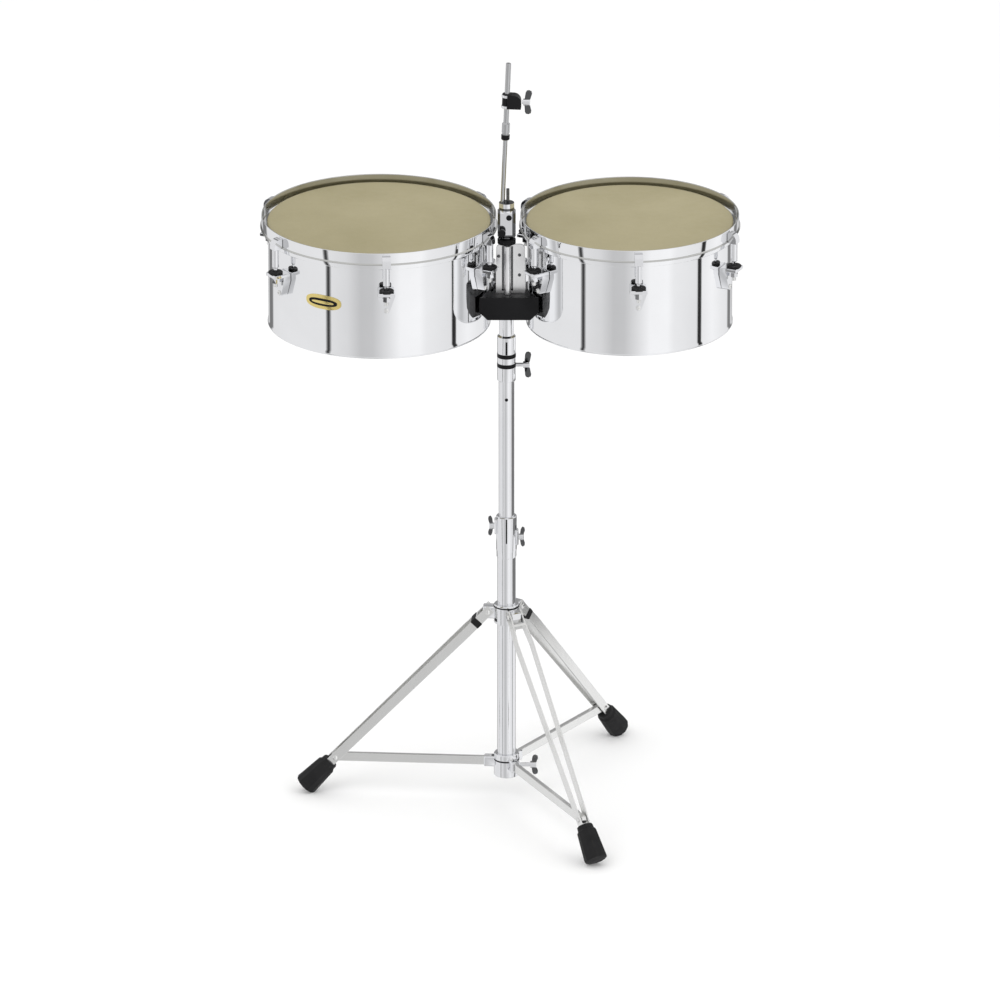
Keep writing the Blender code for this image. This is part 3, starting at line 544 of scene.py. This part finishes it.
def make_cradle():
    finished("cradle_block", "black_casting", "cradle", 0.0022, 3)
    finished("cradle_bracket", "chrome_hardware", "cradle", 0.0007, finish="satin_chrome")
    make_rod_clamp()
    finished("tilt_bolt", "plated_steel", "cradle", 0.0005)
    finished("rod_clamp_knob", "black_casting", "clamp_knob", 0.0004)
    for side in SIDES:
        finished(f"mount_plate_{side}", "chrome_hardware", f"drum_{side}", 0.0010)
    # The bracket's screw heads take near-black chrome: a painted dark reflection.
    for i, (x, z) in enumerate(((0.0208, 0.962), (0.0208, 0.928), (-0.0126, 0.960))):
        head = screw_head(0.0026, 0.0014, facing(at(x, BRACKET_FRONT, z), (0, -1, 0)))
        piece(f"bracket_screw_{i + 1}", head, "plated_steel", "cradle", finish="painted_shade_and_reflection")
    # Two near-black strips stand proud of the bracket's face beside its rib: painted shade where
    # its recesses are.
    wide, foot, top, inset = 0.0040, 0.9012, 0.9770, RIB_RADIUS - 0.0006
    for name, x in (("left", RIB_X - inset - wide), ("right", RIB_X + inset)):
        shade_strip = block((x, BRACKET_FRONT - 0.0002, foot), (x + wide, BRACKET_FRONT + 0.0008, top),
                       Matrix.Translation(STAND))
        rounded(piece(f"bracket_shade_strip_{name}", shade_strip, "chrome_hardware", "cradle",
                      finish="painted_shade_and_reflection"), 0.0002)
    screw = screw_head(0.0046, 0.0014, facing(at(0.0040, -0.0724, 1.0285), (0, -1, 0)))
    piece("clamp_screw", screw, "black_casting", "cradle")
    collar = [(0.0103, 0.9815), (0.0140, 0.9815), (0.0146, 0.9821), (0.0146, 0.9891),
              (0.0140, 0.9897), (0.0103, 0.9897)]
    ring = lathe(collar, 48, True, Matrix.Translation(at(0.0002, CLAMP_Y, 0.0)))
    piece("clamp_neck_band", ring, "black_casting", "cradle")


def rod_matrix(distance):
    """The accessory rod's frame, this far up from its foot."""
    low, high = span("accessory_rod_lower")
    foot = Vector((STAND.x + ROD_FOOT_X, (low.y + high.y) / 2, ROD_FOOT_Z))
    lean = Matrix.Rotation(ROD_LEAN, 4, "Y")
    return Matrix.Translation(foot) @ lean @ Matrix.Translation((0, 0, distance))


def make_accessory_rod():
    thin, thick, coupler = 0.0035, 0.0042, 0.0063
    lower = [(0.0, 0.0), (thin - 0.0005, 0.0), (thin, 0.0005), (thin, THIN_ROD_LENGTH),
             (0.0, THIN_ROD_LENGTH)]
    piece("accessory_rod_lower_turned", lathe(lower, 48, matrix=rod_matrix(0.0)),
          "chrome_hardware", "accessory_rod", "accessory_rod_lower", "rod_chrome")
    length, collar = ROD_TOP - COUPLER_START, COUPLER_LENGTH
    upper = [(0.0, length)] + curved(thick - 0.0015, length - 0.0015, 0.0015, 90, 0)
    upper += [(thick, collar + 0.0006), (coupler - 0.0016, collar), (coupler, collar - 0.0016),
              (coupler, 0.0125), (coupler - 0.0012, 0.0118), (coupler - 0.0012, 0.0102),
              (coupler, 0.0095), (coupler, 0.0010), (coupler - 0.0010, 0.0),
              (thin + 0.0004, 0.0), (thin + 0.0004, 0.0046), (0.0, 0.0046)]
    piece("accessory_rod_upper_turned", lathe(upper, 56, matrix=rod_matrix(COUPLER_START)),
          "chrome_hardware", "accessory_rod", "accessory_rod_upper", "rod_chrome")
    grip = [(coupler + 0.0001, 0.0012), (coupler + 0.0005, 0.0016), (coupler + 0.0005, 0.0088),
            (coupler + 0.0001, 0.0092)]
    piece("coupler_grip", lathe(grip, 48, True, rod_matrix(COUPLER_START)), "black_casting",
          "accessory_rod")
    finished("top_clamp", "black_casting", "top_clamp", 0.0008)
    sleeve = [(0.0081, -0.0125), (0.0086, -0.0120), (0.0086, -0.0085), (0.0081, -0.0080)]
    for name, lift in (("lower", 0.0015), ("upper", 0.0195)):
        ring = lathe(sleeve, 48, True, rod_matrix(TOP_CLAMP_AT + lift))
        piece(f"top_clamp_ring_{name}", ring, "chrome_hardware", "top_clamp")
    wing_bolt("top_wing_nut", "top_nut")


# --- mast ---------------------------------------------------------------------------------
POST_RADIUS = 0.0150


def tube(low, high, radius, wall, node, body):
    """A straight tube on the stand's axis, standing for its CAD node."""
    soft = 0.0006
    profile = [(radius, high - soft), (radius, low + soft), (radius - soft, low),
               (radius - wall, low), (radius - wall, high), (radius - soft, high)]
    mesh = lathe(profile, 96, True, Matrix.Translation(STAND))
    piece(f"{node}_tube", mesh, "chrome_hardware", body, node)


def band(name, radius, low, high, body):
    """A thin black ring round the stand's axis."""
    inner, soft = radius - 0.0010, 0.0004
    profile = [(inner, low), (radius - soft, low), (radius, low + soft), (radius, high - soft),
               (radius - soft, high), (inner, high)]
    piece(name, lathe(profile, 72, True, Matrix.Translation(STAND)), "black_casting", body)


def button_mesh(radius, tube_radius, height):
    """A thin round spot wrapped onto the tube's front, clear of the sleeve that slides over it."""
    thick, sides = 0.0004, 24
    around = [2 * math.pi * i / sides for i in range(sides)]
    bm = bmesh.new()
    rims = []
    for surface in (tube_radius, tube_radius - thick):
        rims.append([bm.verts.new(at(surface * math.sin(radius * math.cos(t) / tube_radius),
                                     -surface * math.cos(radius * math.cos(t) / tube_radius),
                                     height + radius * math.sin(t))) for t in around])
    front = bm.verts.new(at(0, -tube_radius, height))
    back = bm.verts.new(at(0, thick - tube_radius, height))
    for i in range(sides):
        j = (i + 1) % sides
        bm.faces.new((front, rims[0][i], rims[0][j]))
        bm.faces.new((back, rims[1][j], rims[1][i]))
        bm.faces.new((rims[0][i], rims[1][i], rims[1][j], rims[0][j]))
    bmesh.ops.recalc_face_normals(bm, faces=bm.faces)
    return mesh_from(bm, "button")


def make_mast():
    wall = 0.0015
    upper_radius = (UPPER_HIGH.x - UPPER_LOW.x) / 2
    lower_radius = (TUBE_HIGH.x - TUBE_LOW.x) / 2
    tube(TUBE_LOW.z, TUBE_HIGH.z, lower_radius, wall, "lower_tube", "base")
    tube(UPPER_LOW.z, UPPER_HIGH.z, upper_radius, wall, "upper_tube", "mast")
    finished("tilter_post", "chrome_hardware", "post", 0.0005)
    wing_bolt("post_wing", "post_wing")
    finished("height_clamp", "chrome_hardware", "base", 0.0005)
    for side in SIDES:
        wing_bolt(f"height_wing_{side}", f"height_wing_{side}")
    band("post_band_upper", POST_RADIUS + 0.00025, 0.7652, 0.7724, "post")
    band("post_band_lower", POST_RADIUS + 0.00025, 0.7485, 0.7556, "post")
    slot_low, slot_high, half = 0.7727, 0.7950, 0.0016
    slot = block((-half, -POST_RADIUS - 0.0004, slot_low), (half, -POST_RADIUS + 0.0010, slot_high),
                 Matrix.Translation(STAND))
    rounded(piece("post_slot", slot, "black_casting", "post"), 0.0003)
    button = button_mesh(0.0028, upper_radius + 0.00008, 0.6950)
    piece("tube_button", button, "black_casting", "mast")
    split = block((-0.0011, -0.0174, 0.4480), (0.0011, -0.0160, 0.4900), Matrix.Translation(STAND))
    rounded(piece("clamp_split", split, "black_casting", "base"), 0.0003)


# --- tripod -------------------------------------------------------------------------------
LEG_PIVOT = (0.0300, 0.3260)                 # out from the stand's axis, and height
LEG_LEAN = math.radians(43.5)
LEG_JOINT = 0.3622                           # down the leg from its pivot, like the foot's ends
FOOT_START, FOOT_END = 0.3735, 0.4345
HUB_BAND_RADIUS = 0.0210


def leg_matrix(side):
    """A leg's frame: X away from the stand, -Z along the leg from its pivot."""
    turn = Matrix.Rotation(math.radians(LEGS[side]), 4, "Z")
    lift = Matrix.Translation((LEG_PIVOT[0], 0.0, LEG_PIVOT[1]))
    return Matrix.Translation(STAND) @ turn @ lift @ Matrix.Rotation(-LEG_LEAN, 4, "Y")


def boot_mesh(matrix):
    """A stepped rubber boot with a faceted flank, cut flat where it stands on the floor."""
    start, end, collar, shoulder, wide = FOOT_START, FOOT_END, 0.0132, 0.0162, 0.0191
    profile = [(0.0, -start), (collar - 0.0010, -start), (collar, -start - 0.0010),
               (collar + 0.0004, -start - 0.0075), (collar + 0.0014, -start - 0.0090),
               (shoulder - 0.0008, -start - 0.0098), (shoulder, -start - 0.0110)]
    profile += curved(wide - 0.0030, -end + 0.0030, 0.0030, 10, -90, 5)
    profile += [(0.0, -end)]
    mesh = lathe(profile, 12, matrix=matrix @ Matrix.Rotation(math.pi / 12, 4, "Z"))
    bm = bmesh.new()
    bm.from_mesh(mesh)
    trim = bmesh.ops.bisect_plane(bm, geom=bm.verts[:] + bm.edges[:] + bm.faces[:], dist=1e-7,
                                  plane_co=(0, 0, 0), plane_no=(0, 0, -1), clear_outer=True)
    rim = [item for item in trim["geom_cut"] if isinstance(item, bmesh.types.BMEdge)]
    bmesh.ops.edgeloop_fill(bm, edges=rim)
    bmesh.ops.recalc_face_normals(bm, faces=bm.faces)
    bm.to_mesh(mesh)
    bm.free()
    return mesh


def rivet(name, matrix, across, distance, body):
    """A pair of domed rivet heads on both sides of a leg, on one axis."""
    radius, height = 0.0042, 0.0018
    for sign, end in ((-1, "a"), (1, "b")):
        spot = matrix @ Vector((0.0, sign * across, -distance))
        outwards = matrix.to_3x3() @ Vector((0, sign, 0))
        dome = [(radius * math.cos(t), height * math.sin(t)) for t in (0.35, 0.8, 1.2)]
        profile = [(0.0, 0.0), (radius, 0.0), *dome, (0.0, height)]
        mesh = lathe(profile, 28, matrix=facing(spot, outwards))
        piece(f"{name}_{end}", mesh, "plated_steel", body)


def make_leg(side):
    here = leg_matrix(side)
    finished(f"leg_{side}", "plated_steel", f"leg_{side}", 0.0005)
    finished(f"strut_{side}", "plated_steel", f"strut_{side}", 0.0008)
    boot = piece(f"foot_{side}_boot", boot_mesh(here), "black_rubber", f"leg_{side}",
                 f"foot_{side}")
    rounded(boot, 0.0012, 3, 24.0)
    rivet(f"leg_{side}_pivot_rivet", here, 0.0118, 0.0, f"leg_{side}")
    rivet(f"leg_{side}_joint_rivet", here, 0.0082, LEG_JOINT, f"leg_{side}")
    if side != "front":
        wide, deep = 0.0138, 0.0082
        sleeve = block((-deep, -wide, -0.0320), (deep, wide, -0.0205), here)
        rounded(piece(f"leg_{side}_sleeve", sleeve, "black_rubber", f"leg_{side}"), 0.0016, 3)


def make_tripod():
    finished("leg_hub", "chrome_hardware", "base", 0.0005)
    finished("brace_hub", "chrome_hardware", "brace", 0.0005)
    wing_bolt("hub_wing", "brace_wing")
    for side in LEGS:
        make_leg(side)
    # A thin black ring just above the legs' pivots: painted shadow under the hub's collar.
    band("leg_hub_painted_shadow", HUB_BAND_RADIUS, 0.3340, 0.3362, "base")
    band("brace_hub_band", HUB_BAND_RADIUS, 0.0660, 0.0685, "brace")


# --- studio -------------------------------------------------------------------------------
# What polished metal mirrors: (azimuth from the player's side towards +X in degrees, brightness).
STUDIO = ((-180, 0.30), (-161, 0.70), (-157, 0.20), (-145, 0.20), (-141, 0.80), (-124, 0.82),
          (-56, 0.84), (-54.3, 0.05), (-51.3, 0.05), (-49.6, 0.80), (-32, 0.74), (-18, 0.58),
          (-6, 0.60), (8, 0.78), (22, 0.98), (42, 1.0), (50, 0.90), (80, 0.82), (81.3, 0.03),
          (85.7, 0.03), (87, 0.88), (104, 0.97), (124, 0.88), (140, 0.84), (143, 0.22),
          (152, 0.22), (156, 0.72), (180, 0.30))


def make_world():
    """Even white light, with the STUDIO brightnesses round the horizon for polish to mirror."""
    world = bpy.data.worlds.new("studio")
    bpy.context.scene.world = world
    world.use_nodes = True
    tree = world.node_tree
    tree.nodes.clear()

    def node(kind):
        return tree.nodes.new(kind)

    place, split = node("ShaderNodeTexCoord"), node("ShaderNodeSeparateXYZ")
    tree.links.new(place.outputs["Generated"], split.inputs["Vector"])
    flip, angle, unit = node("ShaderNodeMath"), node("ShaderNodeMath"), node("ShaderNodeMath")
    flip.operation = "MULTIPLY"
    flip.inputs[1].default_value = -1.0
    tree.links.new(split.outputs["Y"], flip.inputs[0])
    angle.operation = "ARCTAN2"
    tree.links.new(split.outputs["X"], angle.inputs[0])
    tree.links.new(flip.outputs[0], angle.inputs[1])
    unit.operation = "MULTIPLY_ADD"
    unit.inputs[1].default_value = 1.0 / (2 * math.pi)
    unit.inputs[2].default_value = 0.5
    tree.links.new(angle.outputs[0], unit.inputs[0])
    ramp = node("ShaderNodeValToRGB")
    stops = ramp.color_ramp.elements
    while len(stops) < len(STUDIO):
        stops.new(1.0)
    for stop, (azimuth, level) in zip(stops, STUDIO):
        stop.position = (azimuth + 180.0) / 360.0
        stop.color = (level, level, level * 1.01, 1.0)
    tree.links.new(unit.outputs[0], ramp.inputs["Fac"])
    # plain light overhead, where nothing stands
    steep, blend = node("ShaderNodeMapRange"), node("ShaderNodeMix")
    steep.inputs["From Min"].default_value = 0.62
    steep.inputs["From Max"].default_value = 0.90
    tree.links.new(split.outputs["Z"], steep.inputs["Value"])
    blend.data_type = "RGBA"
    blend.inputs["B"].default_value = (0.85, 0.85, 0.86, 1.0)
    tree.links.new(steep.outputs["Result"], blend.inputs["Factor"])
    tree.links.new(ramp.outputs["Color"], blend.inputs["A"])
    mirrored, plain, choice = (node("ShaderNodeBackground"), node("ShaderNodeBackground"),
                               node("ShaderNodeMixShader"))
    tree.links.new(blend.outputs["Result"], mirrored.inputs["Color"])
    plain.inputs["Color"].default_value = (1.0, 1.0, 1.0, 1.0)
    plain.inputs["Strength"].default_value = 1.0
    ray, out = node("ShaderNodeLightPath"), node("ShaderNodeOutputWorld")
    tree.links.new(ray.outputs["Is Glossy Ray"], choice.inputs["Fac"])
    tree.links.new(plain.outputs[0], choice.inputs[1])
    tree.links.new(mirrored.outputs[0], choice.inputs[2])
    tree.links.new(choice.outputs[0], out.inputs["Surface"])


LAMP_AIM = 0.8


def make_lamp(name, place, size, power):
    """A square soft light that faces the stand."""
    data = bpy.data.lights.new(name, "AREA")
    data.size = size
    data.energy = power
    lamp = bpy.data.objects.new(name, data)
    bpy.context.scene.collection.objects.link(lamp)
    aim = at(0.0, 0.0, LAMP_AIM)
    lamp.location = place
    lamp.rotation_euler = (aim - Vector(place)).to_track_quat("-Z", "Y").to_euler()
    lamp.visible_glossy = False


CARD_RADIUS, CARD_HEIGHTS, CARD_AZIMUTHS = 0.9, (-0.03, 0.40), (84, 148)


def make_card():
    """A dark card on the stand's right, seen only in the mast's polish."""
    bm = bmesh.new()
    low, high = CARD_HEIGHTS
    columns = []
    for azimuth in range(CARD_AZIMUTHS[0], CARD_AZIMUTHS[1] + 1, 4):
        turn = math.radians(azimuth)
        x, y = CARD_RADIUS * math.sin(turn), -CARD_RADIUS * math.cos(turn)
        columns.append([bm.verts.new(at(x, y, z)) for z in (low, high)])
    for first, second in zip(columns, columns[1:]):
        bm.faces.new((first[0], second[0], second[1], first[1]))
    mesh = mesh_from(bm, "card")
    card = bpy.data.objects.new("card", mesh)
    bpy.context.scene.collection.objects.link(card)
    paint, _, shader = shader_tree("card_paint", (0.0, 0.0, 0.0), 1.0, 0.0)
    shader.inputs["Emission Color"].default_value = (0.20, 0.20, 0.20, 1.0)
    shader.inputs["Emission Strength"].default_value = 1.0
    mesh.materials.append(paint)
    card.visible_camera = card.visible_diffuse = card.visible_shadow = False
    card.visible_transmission = card.visible_volume_scatter = False


def make_floor():
    """A pale floor just below the feet, left out of what the polish mirrors."""
    bm = bmesh.new()
    bmesh.ops.create_grid(bm, x_segments=1, y_segments=1, size=60.0)
    mesh = mesh_from(bm, "floor")
    floor = bpy.data.objects.new("floor", mesh)
    bpy.context.scene.collection.objects.link(floor)
    paint = shader_tree("floor_paint", (0.97, 0.97, 0.97), 0.9, 0.0)[0]
    mesh.materials.append(paint)
    floor.visible_glossy = False
    floor.location.z = -0.0002


def make_studio():
    make_world()
    make_card()
    make_lamp("key", (-2.2, -3.6, 4.6), 3.5, 60.0)
    make_lamp("fill", (3.2, -2.0, 3.6), 3.5, 30.0)
    make_floor()


CAMERA_DISTANCE, CAMERA_HEIGHT, CAMERA_PITCH = 20.0, 8.259, 21.2        # pitch in degrees
CAMERA_LENS, CAMERA_SENSOR, CAMERA_SHIFT = 477.8, 36.0, (-0.0065, 0.0093)


def make_camera():
    data = bpy.data.cameras.new("camera")
    data.lens = CAMERA_LENS
    data.sensor_width = CAMERA_SENSOR
    data.shift_x, data.shift_y = CAMERA_SHIFT
    data.clip_end = 200.0
    camera = bpy.data.objects.new("camera", data)
    bpy.context.scene.collection.objects.link(camera)
    camera.location = (STAND.x, STAND.y - CAMERA_DISTANCE, CAMERA_HEIGHT)
    camera.rotation_euler = (math.radians(90.0 - CAMERA_PITCH), 0.0, 0.0)
    bpy.context.scene.camera = camera
    bpy.context.scene.view_settings.view_transform = "Standard"


make_camera()
for drum in SIDES:
    make_shell(drum)
    make_head(drum)
    make_hoop(drum)
    for number in range(LUG_COUNT):
        make_tuning(drum, number)
make_badge()
make_cradle()
make_accessory_rod()
make_mast()
make_tripod()
make_studio()

bpy.context.view_layer.update()
